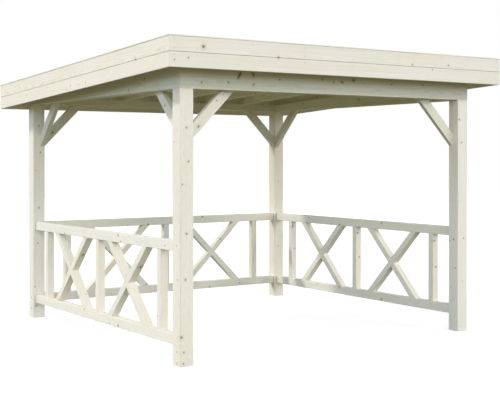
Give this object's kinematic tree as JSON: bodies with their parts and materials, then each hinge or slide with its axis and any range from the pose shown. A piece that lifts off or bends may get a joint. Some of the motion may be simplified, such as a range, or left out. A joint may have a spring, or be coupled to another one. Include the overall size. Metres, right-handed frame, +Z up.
{
  "type": "open garden gazebo",
  "caption": "Open square timber garden gazebo with a flat roof falling to the back, knee-braced posts and crossed-bar railings on the closed sides.",
  "frame": {"origin": "on the ground at the middle of the roof's outline", "axes": "+X to the right along the open front, +Y from the open front to the back, +Z up"},
  "size_m": [3.496, 3.52, 2.5229],
  "materials": {
    "timber": "planed spruce, pale natural, with small knots",
    "roof_covering": "mineral-faced roofing felt, matt"
  },
  "bodies": {
    "root": {"back_cross_left_a": "timber", "back_cross_left_b": "timber", "back_cross_right_a": "timber", "back_cross_right_b": "timber", "back_rail_bottom": "timber", "back_rail_top": "timber", "back_upright_left": "timber", "back_upright_middle": "timber", "back_upright_right": "timber", "beam_back": "timber", "beam_front": "timber", "beam_left": "timber", "beam_right": "timber", "brace_back_left_across": "timber", "brace_back_left_along": "timber", "brace_back_right_across": "timber", "brace_back_right_along": "timber", "brace_front_left_across": "timber", "brace_front_left_along": "timber", "brace_front_right_across": "timber", "brace_front_right_along": "timber", "cap_back": "timber", "cap_front": "timber", "cap_left": "timber", "cap_right": "timber", "fascia_back": "timber", "fascia_front": "timber", "fascia_left": "timber", "fascia_right": "timber", "left_cross_back_a": "timber", "left_cross_back_b": "timber", "left_cross_front_a": "timber", "left_cross_front_b": "timber", "left_rail_bottom": "timber", "left_rail_top": "timber", "left_upright_back": "timber", "left_upright_front": "timber", "left_upright_middle": "timber", "post_back_left": "timber", "post_back_right": "timber", "post_front_left": "timber", "post_front_right": "timber", "rafters": "timber", "right_cross_back_a": "timber", "right_cross_back_b": "timber", "right_cross_front_a": "timber", "right_cross_front_b": "timber", "right_rail_bottom": "timber", "right_rail_top": "timber", "right_upright_back": "timber", "right_upright_front": "timber", "right_upright_middle": "timber", "roof_boards": "timber", "roof_covering": "roof_covering"}
  },
  "joints": []
}
